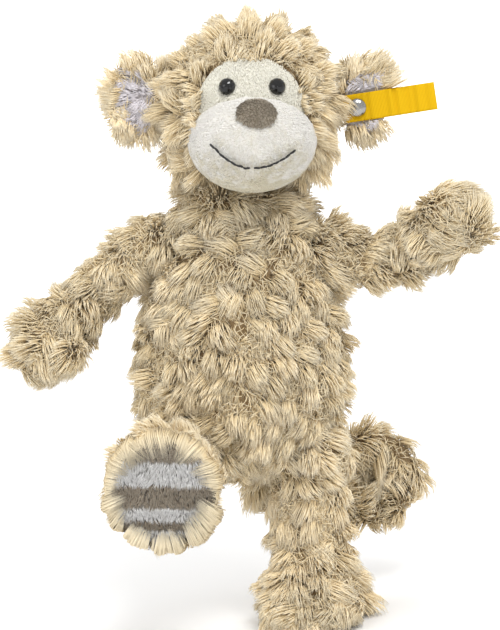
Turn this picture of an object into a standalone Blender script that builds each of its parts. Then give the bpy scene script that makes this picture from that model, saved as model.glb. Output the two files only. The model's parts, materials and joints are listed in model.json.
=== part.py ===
"""A soft-filled plush monkey, standing on its left foot with its right leg lifted forward.

Metres, +Z up. The toy looks towards -Y and its own left side is +X. The origin is the middle of the
standing foot's flat sole. Every fur cover is a pair of sewn panels around its own fibre filling.
"""

import math
from collections import namedtuple

import bmesh
import bpy
import numpy as np
from mathutils import Matrix, Vector

# ---- Driving dimensions ----
GAP = 0.0003  # between two pieces that touch
JOINT_GAP = 0.0007  # between a limb's round root and the seat it turns in
FUR_THICKNESS = 0.0038  # backing cloth and the firm lower half of the long pile
SHORT_PILE_THICKNESS = 0.0022  # backing cloth and pile of the face cloth
BODY_LEAN = math.radians(6.5)  # the body leans over the standing foot
BODY_SHIFT = 0.0025  # and is carried this far to its left

# Places below are in the upright body's frame, which then leans about the standing sole.
TORSO_MIDDLE = Vector((-0.0378, 0.009, 0.0))
TORSO_BOTTOM = 0.074
TORSO_WIDTHS = ((0.114, 0.0500), (0.135, 0.0505), (0.155, 0.0475), (0.173, 0.0425), (0.190, 0.0370))
TORSO_TOP = 0.221
TORSO_DEPTH_RATIO = 0.84

HEAD_CENTRE = Vector((-0.0335, 0.005, 0.2525))
HEAD_RADIUS = 0.041
HEAD_PITCH = math.radians(3.0)  # the face looks slightly up
FACE_TILT_DOWN = math.radians(3.0)
FACE_HALF_ANGLE = math.radians(41.0)

MUZZLE_CENTRE = Vector((0.001, -0.028, -0.0155))  # from the head's centre
MUZZLE_HALF = Vector((0.0305, 0.032, 0.0240))
MUZZLE_ROOT_TILT = -0.75  # how far the muzzle closes in again behind its widest ring
NOSE_HALF = Vector((0.0105, 0.0052, 0.0095))
NOSE_SINK = 0.0022  # the nose's middle plane lies this far below the muzzle's surface
NOSE_ROOT_TILT = -0.3
NOSE_OFFSET = Vector((0.0015, 0.0, 0.0140))  # from the muzzle's centre, across and up
MOUTH_CORNERS = {"left": Vector((0.0200, 0.0, -0.0032)), "right": Vector((0.0192, 0.0, -0.0004))}
MOUTH_LOWEST = -0.0116
MOUTH_START = 0.04  # each stitch starts this share of its width from the middle
STITCH_RADIUS = 0.0005

EYE_OFFSET = Vector((0.0115, 0.0, 0.0102))  # from the head's centre, across and up
EYE_RADIUS = 0.0040
EYE_HEIGHT = 0.0034
EYE_STANDOFF = 0.0004  # from the face cloth to the flat back of the eye
EYE_STEM_RADIUS = 0.0015
EYE_STEM_LENGTH = 0.0085
EYE_WASHER_RADIUS = 0.0045
EYE_WASHER_THICKNESS = 0.0012
EYE_WASHER_DEPTH = 0.0057  # from the back of the eye to the washer, inside the filling
EYE_POCKET_DEPTH = 0.0100

EAR_ROOT_DISTANCE = 0.0420  # from the head's centre to the seam of the ear
EAR_ROOT_HEIGHT = 0.0048
EAR_ROOT_BACK = 0.0030
EAR_HALF = Vector((0.0125, 0.0038, 0.0190))
EAR_CUP = 0.0050  # how far the middle of the ear lies behind its rim

BUTTON_RADIUS = 0.0044
BUTTON_HEIGHT = 0.0022
BUTTON_STEM_RADIUS = 0.0014
BUTTON_RIM = 0.0006
BUTTON_WASHER_THICKNESS = 0.0012
STEM_PAST_EAR = 0.0018  # the stem's clinched end, behind the ear
BUTTON_FROM_ROOT = Vector((0.0093, 0.0, -0.0045))  # from the ear's root, across and up
FLAG_LENGTH = 0.044
FLAG_WIDTH = 0.013
FLAG_THICKNESS = 0.0008
FLAG_STANDOFF = 0.0012  # the back of the flag, in front of the ear's rim
FLAG_WAVE = 0.0014
FLAG_OVERHANG = 0.006  # flag behind the button's centre, towards the head
FLAG_RISE = math.radians(8.5)

SHOULDER_BALL = 0.0175
ARM_RADIUS = 0.0132
HAND_RADIUS = 0.0178
RIGHT_SHOULDER = Vector((-0.0800, 0.009, 0.1840))
LEFT_SHOULDER = Vector((0.0055, 0.009, 0.1810))
RIGHT_ARM_ROUTE = (Vector((-0.022, -0.004, -0.014)), Vector((-0.040, -0.010, -0.033)),
                   Vector((-0.052, -0.016, -0.045)))
LEFT_ARM_ROUTE = (Vector((0.024, -0.008, -0.002)), Vector((0.045, -0.018, 0.010)),
                  Vector((0.057, -0.027, 0.020)))

HIP_BALL = 0.0225
THIGH_RADIUS = 0.0190
ANKLE_RADIUS = 0.0180
LEG_LENGTH = 0.086  # from the hip's centre to the sole
SOLE_HALF = (0.0235, 0.0240)  # half width, half length
SOLE_THICKNESS = 0.0025
TOE_REACH = 0.009  # the sole's middle lies this far in front of the leg
FOOT_INWARDS = {"left": 0.006, "right": 0.0}  # how far each foot lies towards -X from its hip
LEFT_HIP = Vector((FOOT_INWARDS["left"], TOE_REACH, LEG_LENGTH))  # not leaned: this leg stands
RIGHT_HIP = Vector((-0.0660, 0.001, 0.0850))
RAISED_SWING = math.radians(83.0)
RAISED_SPREAD = math.radians(5.0)

TAIL_BALL = 0.0110
TAIL_RADIUS = 0.0085
TAIL_ROOT = Vector((-0.0260, 0.0440, 0.0860))  # tail places are not leaned
TAIL_CURL_CENTRE = Vector((0.0370, 0.0610, 0.0580))
TAIL_CURL_RADIUS = 0.0175
TAIL_CURL_TURNS = (math.radians(230.0), math.radians(475.0))  # from its lower right round to its top
TAIL_APPROACH = (Vector((-0.020, 0.060, 0.066)), Vector((0.000, 0.064, 0.050)))

LEAN = Matrix.Translation((BODY_SHIFT, 0, 0)) @ Matrix.Rotation(BODY_LEAN, 4, "Y")
RIGHT, LEFT = -1, 1
SIDE_NAMES = {RIGHT: "right", LEFT: "left"}

Ring = namedtuple("Ring", "centre side front axis half_side half_front bulge tilt")


# ---- Materials ----
def material(name, colour, roughness, metallic=0.0):
    made = bpy.data.materials.new(name)
    made.use_nodes = True
    shader = made.node_tree.nodes["Principled BSDF"]
    shader.inputs["Base Color"].default_value = (*colour, 1.0)
    shader.inputs["Roughness"].default_value = roughness
    shader.inputs["Metallic"].default_value = metallic
    return made


def make_materials():
    return {
        "long_fur": material("long_fur", (0.66, 0.55, 0.39), 0.95),
        "face_cloth": material("face_cloth", (0.84, 0.81, 0.71), 0.95),
        "ear_cloth": material("ear_cloth", (0.80, 0.76, 0.77), 0.95),
        "nose_cloth": material("nose_cloth", (0.35, 0.29, 0.22), 0.90),
        "sole_cloth": material("sole_cloth", (0.72, 0.71, 0.69), 0.95),
        "filling": material("filling", (0.93, 0.93, 0.92), 1.0),
        "black_thread": material("black_thread", (0.01, 0.01, 0.01), 0.6),
        "eye_plastic": material("eye_plastic", (0.01, 0.01, 0.01), 0.08),
        "washer_plastic": material("washer_plastic", (0.75, 0.75, 0.73), 0.4),
        "nickel": material("nickel", (0.60, 0.60, 0.58), 0.25, 1.0),
        "yellow_ribbon": material("yellow_ribbon", (0.91, 0.55, 0.01), 0.7),
    }


# ---- Building stuffed pieces from rings ----
def ring_point(ring, turn, depth):
    """A point on a ring, at an angle around it and a depth below the outer surface."""
    across = ring.side * ((ring.half_side - depth) * math.cos(turn))
    forward = ring.front * ((ring.half_front - depth) * math.sin(turn))
    along = ring.axis * ((ring.bulge - depth) * math.sin(ring.tilt))
    return ring.centre + (across + forward) * math.cos(ring.tilt) + along


def cap_rings(centre, side, front, axis, half, bulge, tilts):
    """Rings of a round end: tilt runs from -90 degrees at the near pole to 90 at the far one."""
    return [Ring(centre, side, front, axis, half[0], half[1], bulge, tilt) for tilt in tilts]


def spread(first, last, count):
    return [first + (last - first) * i / (count - 1) for i in range(count)]


def grid_faces(bm, rows, flip, closed):
    columns = len(rows[0])
    for above, below in zip(rows, rows[1:]):
        for j in range(columns if closed else columns - 1):
            k = (j + 1) % columns
            corners = [above[j], above[k], below[k], below[j]]
            bm.faces.new(reversed(corners) if flip else corners)


def wall_faces(bm, outer, inner, closed):
    """A strip that joins two matching rows of points."""
    for j in range(len(outer) if closed else len(outer) - 1):
        k = (j + 1) % len(outer)
        bm.faces.new([outer[j], outer[k], inner[k], inner[j]])


def finish(bm, name, frame, slot, sharp_angle=50.0):
    """Makes the named object, closed and facing outwards, on its body's empty."""
    bmesh.ops.remove_doubles(bm, verts=bm.verts, dist=1e-6)
    bmesh.ops.recalc_face_normals(bm, faces=bm.faces)
    mesh = bpy.data.meshes.new(name)
    bm.to_mesh(mesh)
    bm.free()
    mesh.shade_smooth()
    mesh.set_sharp_from_angle(angle=math.radians(sharp_angle))
    mesh.materials.append(MATERIALS[slot])
    made = bpy.data.objects.new(name, mesh)
    bpy.context.scene.collection.objects.link(made)
    made.parent = frame
    return made


def panel(name, frame, slot, rings, turns, thickness, shift=None):
    """A sewn cloth panel over part of the rings' surface, with its edges closed."""
    closed = abs(turns[-1] - turns[0]) > math.tau - 1e-3
    angles = turns[:-1] if closed else turns
    move = shift or Vector()
    bm = bmesh.new()
    outer = [[bm.verts.new(ring_point(r, t, 0.0) + move) for t in angles] for r in rings]
    inner = [[bm.verts.new(ring_point(r, t, thickness) + move) for t in angles] for r in rings]
    grid_faces(bm, outer, False, closed)
    grid_faces(bm, inner, True, closed)
    wall_faces(bm, outer[0], inner[0], closed)
    wall_faces(bm, outer[-1], inner[-1], closed)
    if not closed:
        wall_faces(bm, [row[0] for row in outer], [row[0] for row in inner], False)
        wall_faces(bm, [row[-1] for row in outer], [row[-1] for row in inner], False)
    return finish(bm, name, frame, slot)


def solid(name, frame, slot, rings, count, depth=0.0):
    """A full body inside the rings, such as a filling, with flat ends where they don't close."""
    angles = spread(0.0, math.tau, count + 1)[:-1]
    bm = bmesh.new()
    rows = [[bm.verts.new(ring_point(r, t, depth)) for t in angles] for r in rings]
    grid_faces(bm, rows, False, True)
    for end in (rows[0], rows[-1]):
        if (end[0].co - end[len(end) // 2].co).length > 1e-5:
            bm.faces.new(end)
    return finish(bm, name, frame, slot)


def covered_piece(names, frame, rings, count, seam_direction):
    """Two fur panels, sewn together along both sides, around one filling."""
    first = spread(0.0, math.pi, count // 2 + 1)
    second = spread(math.pi, math.tau, count // 2 + 1)
    push = seam_direction * (GAP / 2)
    panel(names[0], frame, "long_fur", rings, first, FUR_THICKNESS, push)
    panel(names[1], frame, "long_fur", rings, second, FUR_THICKNESS, -push)
    return solid(names[2], frame, "filling", rings, count, FUR_THICKNESS + GAP)


def empty(name, matrix, parent=None):
    made = bpy.data.objects.new(name, None)
    bpy.context.scene.collection.objects.link(made)
    made.parent = parent
    made.matrix_local = matrix
    return made


def disc_rings(axis, side, front, places):
    """Rings of a turned piece: (distance along the axis, half side, half front) for each."""
    return [Ring(axis * at, side, front, axis, a, b, 0.0, 0.0) for at, a, b in places]


# ---- Cutting seats and holes ----
def cutter(name, bm, frame):
    made = finish(bm, name, frame, "filling")
    made.hide_render = True
    made.display_type = "WIRE"
    return made


def ball_cutter(name, frame, radius, segments=20):
    bm = bmesh.new()
    bmesh.ops.create_uvsphere(bm, u_segments=segments, v_segments=segments // 2, radius=radius)
    return cutter(name, bm, frame)


def rod_cutter(name, frame, radius, start, end, segments=16):
    direction = end - start
    turn = direction.to_track_quat("Z", "Y").to_matrix().to_4x4()
    place = Matrix.Translation((start + end) / 2) @ turn
    bm = bmesh.new()
    bmesh.ops.create_cone(bm, cap_ends=True, segments=segments, radius1=radius, radius2=radius,
                          depth=direction.length, matrix=place)
    return cutter(name, bm, frame)


def cut(target, tool):
    boolean = target.modifiers.new("cut_" + tool.name, "BOOLEAN")
    boolean.operation = "DIFFERENCE"
    boolean.solver = "EXACT"
    boolean.object = tool


# ---- Curves ----
def smooth_route(points, count):
    """Evenly spread points on a smooth curve (Catmull-Rom) through the given ones."""
    ends = [points[0] * 2 - points[1], *points, points[-1] * 2 - points[-2]]
    fine = []
    for a, b, c, d in zip(ends, ends[1:], ends[2:], ends[3:]):
        for t in np.linspace(0.0, 1.0, 12, endpoint=False):
            fine.append(0.5 * (2 * b + (c - a) * t + (2 * a - 5 * b + 4 * c - d) * t * t
                               + (3 * b - a - 3 * c + d) * t ** 3))
    fine.append(points[-1])
    lengths = np.cumsum([0.0] + [(q - p).length for p, q in zip(fine, fine[1:])])
    wanted = np.linspace(0.0, lengths[-1], count)
    columns = [np.interp(wanted, lengths, [p[i] for p in fine]) for i in range(3)]
    return [Vector(p) for p in zip(*columns)], wanted


def limb_rings(route, reference, ball, radius_at, end_bulge, ring_count):
    """Rings of a tube that leaves a ball-shaped root and ends in a round tip."""
    middle, lengths = smooth_route([Vector((0, 0, 0)), *route], 40)
    leave = math.acos(radius_at(0.0) / ball)
    start = ball * math.sin(leave)
    total = lengths[-1]

    def at(distance):
        place = Vector([np.interp(distance, lengths, [p[i] for p in middle]) for i in range(3)])
        step = 0.004
        before = [np.interp(distance - step, lengths, [p[i] for p in middle]) for i in range(3)]
        after = [np.interp(distance + step, lengths, [p[i] for p in middle]) for i in range(3)]
        axis = (Vector(after) - Vector(before)).normalized()
        front = (reference - axis * reference.dot(axis)).normalized()
        return place, front.cross(axis), front, axis

    origin, side, front, axis = at(0.0)
    rings = cap_rings(origin, side, front, axis, (ball, ball), ball, spread(-math.pi / 2, leave, 6))
    for distance in spread(start, total, ring_count)[1:]:
        place, side, front, axis = at(distance)
        radius = radius_at((distance - start) / (total - start))
        rings.append(Ring(place, side, front, axis, radius, radius, 0.0, 0.0))
    last = rings[-1]
    tip = cap_rings(last.centre, last.side, last.front, last.axis, (last.half_side, last.half_front),
                    end_bulge, spread(0.0, math.pi / 2, 4))
    return rings + tip[1:]


# ---- Torso ----
def torso_rings():
    side, front, up = Vector((1, 0, 0)), Vector((0, -1, 0)), Vector((0, 0, 1))
    low, high = TORSO_WIDTHS[0], TORSO_WIDTHS[-1]

    def half(width):
        return width, width * TORSO_DEPTH_RATIO

    bottom = cap_rings(TORSO_MIDDLE + up * low[0], side, front, up, half(low[1]), low[0] - TORSO_BOTTOM,
                       spread(-math.pi / 2, 0.0, 6))
    top = cap_rings(TORSO_MIDDLE + up * high[0], side, front, up, half(high[1]), TORSO_TOP - high[0],
                    spread(0.0, math.pi / 2, 5))
    body = [Ring(TORSO_MIDDLE + up * z, side, front, up, *half(w), 0.0, 0.0) for z, w in TORSO_WIDTHS[1:-1]]
    return bottom + body + top


def make_torso(frames):
    names = ("torso_front_panel", "torso_back_panel", "torso_stuffing")
    covered_piece(names, frames["torso"], torso_rings(), 24, Vector((0, -1, 0)))
    seats = [ball_cutter("neck_seat", frames["head"], HEAD_RADIUS + JOINT_GAP, 28),
             ball_cutter("left_shoulder_seat", frames["arm_left"], SHOULDER_BALL + JOINT_GAP),
             ball_cutter("right_shoulder_seat", frames["arm_right"], SHOULDER_BALL + JOINT_GAP),
             ball_cutter("left_hip_seat", frames["leg_left"], HIP_BALL + JOINT_GAP),
             ball_cutter("right_hip_seat", frames["leg_right"], HIP_BALL + JOINT_GAP),
             ball_cutter("tail_seat", frames["tail"], TAIL_BALL + JOINT_GAP),
             rod_cutter("raised_thigh_groove", frames["leg_right"], THIGH_RADIUS + JOINT_GAP,
                        Vector((0, 0, -0.006)), Vector((0, 0, -0.045)), 20)]
    for name in names:
        for seat in seats:
            cut(bpy.data.objects[name], seat)


# ---- Head ----
def make_head(frames):
    frame = frames["head"]
    axis = Vector((0, -math.cos(FACE_TILT_DOWN), -math.sin(FACE_TILT_DOWN)))
    side = Vector((1, 0, 0))
    up = axis.cross(side)
    ball = (HEAD_RADIUS, HEAD_RADIUS)
    face_edge = math.pi / 2 - FACE_HALF_ANGLE
    seam = GAP / HEAD_RADIUS
    back_rings = cap_rings(Vector(), up, side, axis, ball, HEAD_RADIUS, spread(-math.pi / 2, face_edge, 10))
    push = side * (GAP / 2)
    half_turn = spread(0.0, math.pi, 11)
    panel("head_left_panel", frame, "long_fur", back_rings, half_turn, FUR_THICKNESS, push)
    other_half = spread(math.pi, math.tau, 11)
    panel("head_right_panel", frame, "long_fur", back_rings, other_half, FUR_THICKNESS, -push)
    face_rings = cap_rings(Vector(), up, side, axis, ball, HEAD_RADIUS, spread(face_edge + seam, math.pi / 2, 5))
    face = panel("face_panel", frame, "face_cloth", face_rings, spread(0.0, math.tau, 21), SHORT_PILE_THICKNESS)
    filling = solid("head_stuffing", frame, "filling", back_rings + face_rings, 20, FUR_THICKNESS + GAP)
    make_eyes(frame, face, filling)
    make_muzzle(frame)


def make_eyes(frame, face, filling):
    across, up = Vector((1, 0, 0)), Vector((0, 0, 1))
    for sign, name in SIDE_NAMES.items():
        x, z = EYE_OFFSET.x * sign + MUZZLE_CENTRE.x, EYE_OFFSET.z
        out = Vector((x, -math.sqrt(HEAD_RADIUS ** 2 - x * x - z * z), z)).normalized()
        turn = out.to_track_quat("-Y", "Z").to_matrix().to_4x4()
        matrix = Matrix.Translation(out * (HEAD_RADIUS + EYE_STANDOFF)) @ turn
        eye = empty("eye_axis_" + name, matrix, frame)
        forward = Vector((0, -1, 0))
        dome = cap_rings(Vector(), across, up, forward, (EYE_RADIUS, EYE_RADIUS), EYE_HEIGHT,
                         spread(0.0, math.pi / 2, 6))
        stem = disc_rings(forward, across, up, ((-EYE_STEM_LENGTH, EYE_STEM_RADIUS, EYE_STEM_RADIUS),
                                                (-0.0002, EYE_STEM_RADIUS, EYE_STEM_RADIUS),
                                                (0.0, EYE_RADIUS, EYE_RADIUS)))
        solid("eye_" + name, eye, "eye_plastic", stem + dome[1:], 16)
        hole = rod_cutter("eye_hole_" + name, eye, EYE_STEM_RADIUS + GAP, Vector((0, 0.012, 0)),
                          Vector((0, -0.004, 0)))
        cut(face, hole)
        washer_faces = (-EYE_WASHER_DEPTH - EYE_WASHER_THICKNESS, -EYE_WASHER_DEPTH)
        places = [(at, EYE_WASHER_RADIUS, EYE_WASHER_RADIUS) for at in washer_faces]
        washer = disc_rings(forward, across, up, places)
        cut(solid("eye_washer_" + name, eye, "washer_plastic", washer, 16), hole)
        pocket = rod_cutter("eye_pocket_" + name, eye, EYE_WASHER_RADIUS + GAP, Vector((0, EYE_POCKET_DEPTH, 0)),
                            Vector((0, -0.002, 0)))
        cut(filling, pocket)


def on_muzzle(x, z, lift):
    """The point of the muzzle's front surface at a place across and up from its centre."""
    half = MUZZLE_HALF + Vector((lift, lift, lift))
    y = -half.y * math.sqrt(1 - (x / half.x) ** 2 - (z / half.z) ** 2)
    return MUZZLE_CENTRE + Vector((x, y, z))


def make_muzzle(frame):
    side, up, forward = Vector((1, 0, 0)), Vector((0, 0, 1)), Vector((0, -1, 0))
    half = (MUZZLE_HALF.x, MUZZLE_HALF.z)
    rings = cap_rings(MUZZLE_CENTRE, side, up, forward, half, MUZZLE_HALF.y,
                     spread(MUZZLE_ROOT_TILT, math.pi / 2, 9))
    seat = ball_cutter("head_seat", frame, HEAD_RADIUS + 2 * GAP, 32)
    cover = panel("muzzle_panel", frame, "face_cloth", rings, spread(0.0, math.tau, 23), SHORT_PILE_THICKNESS)
    filling = solid("muzzle_stuffing", frame, "filling", rings, 22, SHORT_PILE_THICKNESS + GAP)
    cut(cover, seat)
    cut(filling, seat)
    place = on_muzzle(NOSE_OFFSET.x, NOSE_OFFSET.z, 0.0)
    slope = Vector((0, (place - MUZZLE_CENTRE).y / MUZZLE_HALF.y ** 2, NOSE_OFFSET.z / MUZZLE_HALF.z ** 2))
    out = slope.normalized()
    nose_up = (up - out * up.dot(out)).normalized()
    nose_rings = cap_rings(place - out * NOSE_SINK, nose_up.cross(out), nose_up, out,
                           (NOSE_HALF.x, NOSE_HALF.z), NOSE_HALF.y, spread(NOSE_ROOT_TILT, math.pi / 2, 8))
    nose = solid("nose_patch", frame, "nose_cloth", nose_rings, 22)
    bm = bmesh.new()
    bmesh.ops.create_uvsphere(bm, u_segments=32, v_segments=16, radius=1.0)
    clear = MUZZLE_HALF + Vector((1, 1, 1)) * (2 * GAP)
    stretched = Matrix.Translation(MUZZLE_CENTRE) @ Matrix.Diagonal((*clear, 1.0))
    bmesh.ops.transform(bm, verts=bm.verts, matrix=stretched)
    cut(nose, cutter("nose_seat", bm, frame))
    for sign, name in SIDE_NAMES.items():
        corner = MOUTH_CORNERS[name]
        points = []
        for t in np.linspace(MOUTH_START, 1.0, 9):
            z = MOUTH_LOWEST + (corner.z - MOUTH_LOWEST) * t ** 2
            points.append(on_muzzle(sign * corner.x * t, z, STITCH_RADIUS + 2 * GAP))
        stitch_tube("mouth_stitch_" + name, frame, points)


def stitch_tube(name, frame, points):
    rings = []
    for i, place in enumerate(points):
        axis = (points[min(i + 1, len(points) - 1)] - points[max(i - 1, 0)]).normalized()
        front = axis.cross(Vector((0, 0, 1))).normalized()
        rings.append(Ring(place, axis.cross(front), front, axis, STITCH_RADIUS, STITCH_RADIUS, 0.0, 0.0))
    return solid(name, frame, "black_thread", rings, 8)


# ---- Ears, button and flag ----
def cupped(made):
    """Bends an ear's flat pieces so that the middle lies behind the rim."""
    for vertex in made.data.vertices:
        x = (abs(vertex.co.x) - EAR_HALF.x) / EAR_HALF.x
        z = vertex.co.z / EAR_HALF.z
        vertex.co.y += EAR_CUP * max(0.0, 1.0 - x * x - z * z)
    made.data.update()


def make_ears(frames):
    up, back = Vector((0, 0, 1)), Vector((0, 1, 0))
    for sign, name in SIDE_NAMES.items():
        frame = frames["ear_" + name]
        out = Vector((sign, 0, 0))
        rings = cap_rings(out * EAR_HALF.x, up, back, out, (EAR_HALF.z, EAR_HALF.y), EAR_HALF.x,
                          spread(-math.pi / 2, math.pi / 2, 11))
        for part, slot, first, push in (("ear_shell_", "long_fur", 0.0, GAP / 2),
                                        ("ear_lining_", "ear_cloth", math.pi, -GAP / 2)):
            made = half_ear(part + name, frame, slot, rings, first, back * push)
            cupped(made)
            if sign == LEFT:
                hole_at = Vector((BUTTON_FROM_ROOT.x, 0, BUTTON_FROM_ROOT.z))
                hole = rod_cutter("button_hole_" + part.strip("_"), frame, BUTTON_STEM_RADIUS + GAP,
                                  hole_at + back * 0.02, hole_at - back * 0.02)
                cut(made, hole)
    make_button(frames["ear_left"])
    make_flag(frames["flag"])


def half_ear(name, frame, slot, rings, first, move):
    """Half of a flat pad: the domed side over a half turn, closed by the plane between the halves."""
    angles = spread(first, first + math.pi, 9)
    bm = bmesh.new()
    domed = [[bm.verts.new(ring_point(r, t, 0.0) + move) for t in angles] for r in rings]
    thin = [r._replace(half_front=0.0) for r in rings]
    plane = [[bm.verts.new(ring_point(r, t, 0.0) + move) for t in angles] for r in thin]
    grid_faces(bm, domed, False, False)
    grid_faces(bm, plane, True, False)
    return finish(bm, name, frame, slot)


def make_button(frame):
    across, up, forward = Vector((1, 0, 0)), Vector((0, 0, 1)), Vector((0, -1, 0))
    face = FLAG_STANDOFF + FLAG_THICKNESS + GAP  # the button's underside
    back = EAR_CUP + EAR_HALF.y + STEM_PAST_EAR
    places = ((-back, BUTTON_STEM_RADIUS), (face, BUTTON_STEM_RADIUS), (face + 0.0001, BUTTON_RADIUS))
    stem = disc_rings(forward, across, up, [(at, r, r) for at, r in places])
    dome = cap_rings(forward * (face + BUTTON_RIM), across, up, forward, (BUTTON_RADIUS, BUTTON_RADIUS),
                     BUTTON_HEIGHT - BUTTON_RIM, spread(0.0, math.pi / 2, 6))
    axle = empty("button_axis", Matrix.Translation(BUTTON_FROM_ROOT), frame)
    solid("ear_button", axle, "nickel", stem + dome, 18)
    high = back - GAP
    low = high - BUTTON_WASHER_THICKNESS
    outer, inner = BUTTON_RADIUS * 0.9, BUTTON_STEM_RADIUS + GAP
    ring = [(-high, outer, outer), (-low, outer, outer)]
    washer = solid("ear_button_washer", axle, "nickel", disc_rings(forward, across, up, ring), 18)
    cut(washer, rod_cutter("washer_hole", axle, inner, Vector((0, 0.02, 0)), Vector((0, 0.005, 0))))


def make_flag(frame):
    """A ribbon folded on itself, which hangs from the button and points away from the head."""
    bm = bmesh.new()
    columns = 12
    rows = []
    for i in range(columns + 1):
        x = -FLAG_OVERHANG + FLAG_LENGTH * i / columns
        free = max(0.0, x - BUTTON_RADIUS) / FLAG_LENGTH
        front = -(FLAG_STANDOFF + FLAG_THICKNESS + FLAG_WAVE * math.sin(free * math.pi * 2.0) ** 2)
        corners = ((front, -0.5), (front, 0.5), (front + FLAG_THICKNESS, 0.5), (front + FLAG_THICKNESS, -0.5))
        rows.append([bm.verts.new((x, y, h * FLAG_WIDTH)) for y, h in corners])
    grid_faces(bm, rows, False, True)
    bm.faces.new(rows[0])
    bm.faces.new(rows[-1])
    flag = finish(bm, "ear_flag", frame, "yellow_ribbon", 30.0)
    hole = rod_cutter("flag_hole", frame, BUTTON_STEM_RADIUS + GAP, Vector((0, 0.01, 0)), Vector((0, -0.01, 0)))
    cut(flag, hole)


# ---- Arms ----
def make_arms(frames):
    for side, route in (("right", RIGHT_ARM_ROUTE), ("left", LEFT_ARM_ROUTE)):

        def radius_at(t):
            return ARM_RADIUS + (HAND_RADIUS - ARM_RADIUS) * max(0.0, (t - 0.55) / 0.45) ** 1.5

        rings = limb_rings(list(route), Vector((0, -1, 0)), SHOULDER_BALL, radius_at, HAND_RADIUS * 0.95, 7)
        names = tuple(f"arm_{part}_{side}" for part in ("front_panel", "back_panel", "stuffing"))
        covered_piece(names, frames["arm_" + side], rings, 14, Vector((0, -1, 0)))


# ---- Legs ----
def make_legs(frames):
    side, front, down = Vector((1, 0, 0)), Vector((0, -1, 0)), Vector((0, 0, -1))
    leave = math.acos(THIGH_RADIUS / HIP_BALL)
    for name in ("left", "right"):
        frame = frames["leg_" + name]
        inwards = FOOT_INWARDS[name]
        rings = cap_rings(Vector(), side, front, down, (HIP_BALL, HIP_BALL), HIP_BALL,
                          spread(-math.pi / 2, leave, 7))
        sole_top = LEG_LENGTH - SOLE_THICKNESS - GAP
        wide, long = SOLE_HALF
        # distance below the hip, half width, half length, how far the ring lies towards the toes
        steps = ((0.026, THIGH_RADIUS, THIGH_RADIUS, 0.0),
                 (0.042, ANKLE_RADIUS, ANKLE_RADIUS, 0.0),
                 (0.053, ANKLE_RADIUS + 0.0010, ANKLE_RADIUS + 0.0025, TOE_REACH * 0.25),
                 (0.063, wide - 0.0005, long - 0.0010, TOE_REACH * 0.75),
                 (0.073, wide + 0.0020, long + 0.0025, TOE_REACH),
                 (sole_top, wide + 0.0010, long + 0.0015, TOE_REACH))
        for below, half_width, half_length, reach in steps:
            place = down * below + front * reach - side * (inwards * below / LEG_LENGTH)
            rings.append(Ring(place, side, front, down, half_width, half_length, 0.0, 0.0))
        names = tuple(f"leg_{part}_{name}" for part in ("front_panel", "back_panel", "stuffing"))
        covered_piece(names, frame, rings, 16, front)
        middle = front * TOE_REACH - side * inwards
        sole = [Ring(down * below + middle, side, front, down, wide, long, 0.0, 0.0)
                for below in (LEG_LENGTH - SOLE_THICKNESS, LEG_LENGTH)]
        solid("foot_sole_" + name, frame, "sole_cloth", sole, 32)


# ---- Tail ----
def make_tail(frames):
    curl = [TAIL_CURL_CENTRE + Vector((math.cos(turn), 0, math.sin(turn))) * TAIL_CURL_RADIUS
            for turn in spread(*TAIL_CURL_TURNS, 8)]
    route = [place - TAIL_ROOT for place in (*TAIL_APPROACH, *curl)]
    upwards = Vector((0, -1, 0))  # the curl stands in a plane that faces forwards
    rings = limb_rings(route, upwards, TAIL_BALL, lambda t: TAIL_RADIUS, TAIL_RADIUS, 24)
    names = ("tail_front_panel", "tail_back_panel", "tail_stuffing")
    covered_piece(names, frames["tail"], rings, 10, upwards)


# ---- Joint frames ----
def make_frames():
    """One empty on each joint, turned as its body is, so that a body's pieces are placed by it."""
    frames = {"torso": empty("torso_frame", LEAN)}
    head = empty("head_frame", LEAN @ Matrix.Translation(HEAD_CENTRE) @ Matrix.Rotation(-HEAD_PITCH, 4, "X"))
    frames["head"] = head
    for sign, name in SIDE_NAMES.items():
        root = Vector((sign * EAR_ROOT_DISTANCE, EAR_ROOT_BACK, EAR_ROOT_HEIGHT))
        frames["ear_" + name] = empty(f"ear_frame_{name}", Matrix.Translation(root), head)
    tilt = Matrix.Rotation(-FLAG_RISE, 4, "Y")
    frames["flag"] = empty("flag_frame", Matrix.Translation(BUTTON_FROM_ROOT) @ tilt, frames["ear_left"])
    frames["arm_right"] = empty("arm_frame_right", LEAN @ Matrix.Translation(RIGHT_SHOULDER))
    frames["arm_left"] = empty("arm_frame_left", LEAN @ Matrix.Translation(LEFT_SHOULDER))
    frames["leg_left"] = empty("leg_frame_left", Matrix.Translation(LEFT_HIP))
    spread_out = Matrix.Rotation(-RAISED_SPREAD, 4, "Z")
    swing = Matrix.Rotation(-RAISED_SWING, 4, "X")
    frames["leg_right"] = empty("leg_frame_right", LEAN @ Matrix.Translation(RIGHT_HIP) @ spread_out @ swing)
    frames["tail"] = empty("tail_frame", Matrix.Translation(TAIL_ROOT))
    return frames


for old in list(bpy.data.objects):
    bpy.data.objects.remove(old)
MATERIALS = make_materials()
FRAMES = make_frames()
make_torso(FRAMES)
make_head(FRAMES)
make_ears(FRAMES)
make_arms(FRAMES)
make_legs(FRAMES)
make_tail(FRAMES)
bpy.context.view_layer.update()
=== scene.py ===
"""The looks of the plush monkey: long clumped pile, short-pile face, striped soles, button and ribbon tag.

Metres, +Z up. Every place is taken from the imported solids: fur grows from skins that are made of them.
"""

import json
import math

import bmesh
import bpy
import numpy as np
from mathutils import Matrix, Vector
from mathutils.kdtree import KDTree


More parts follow.
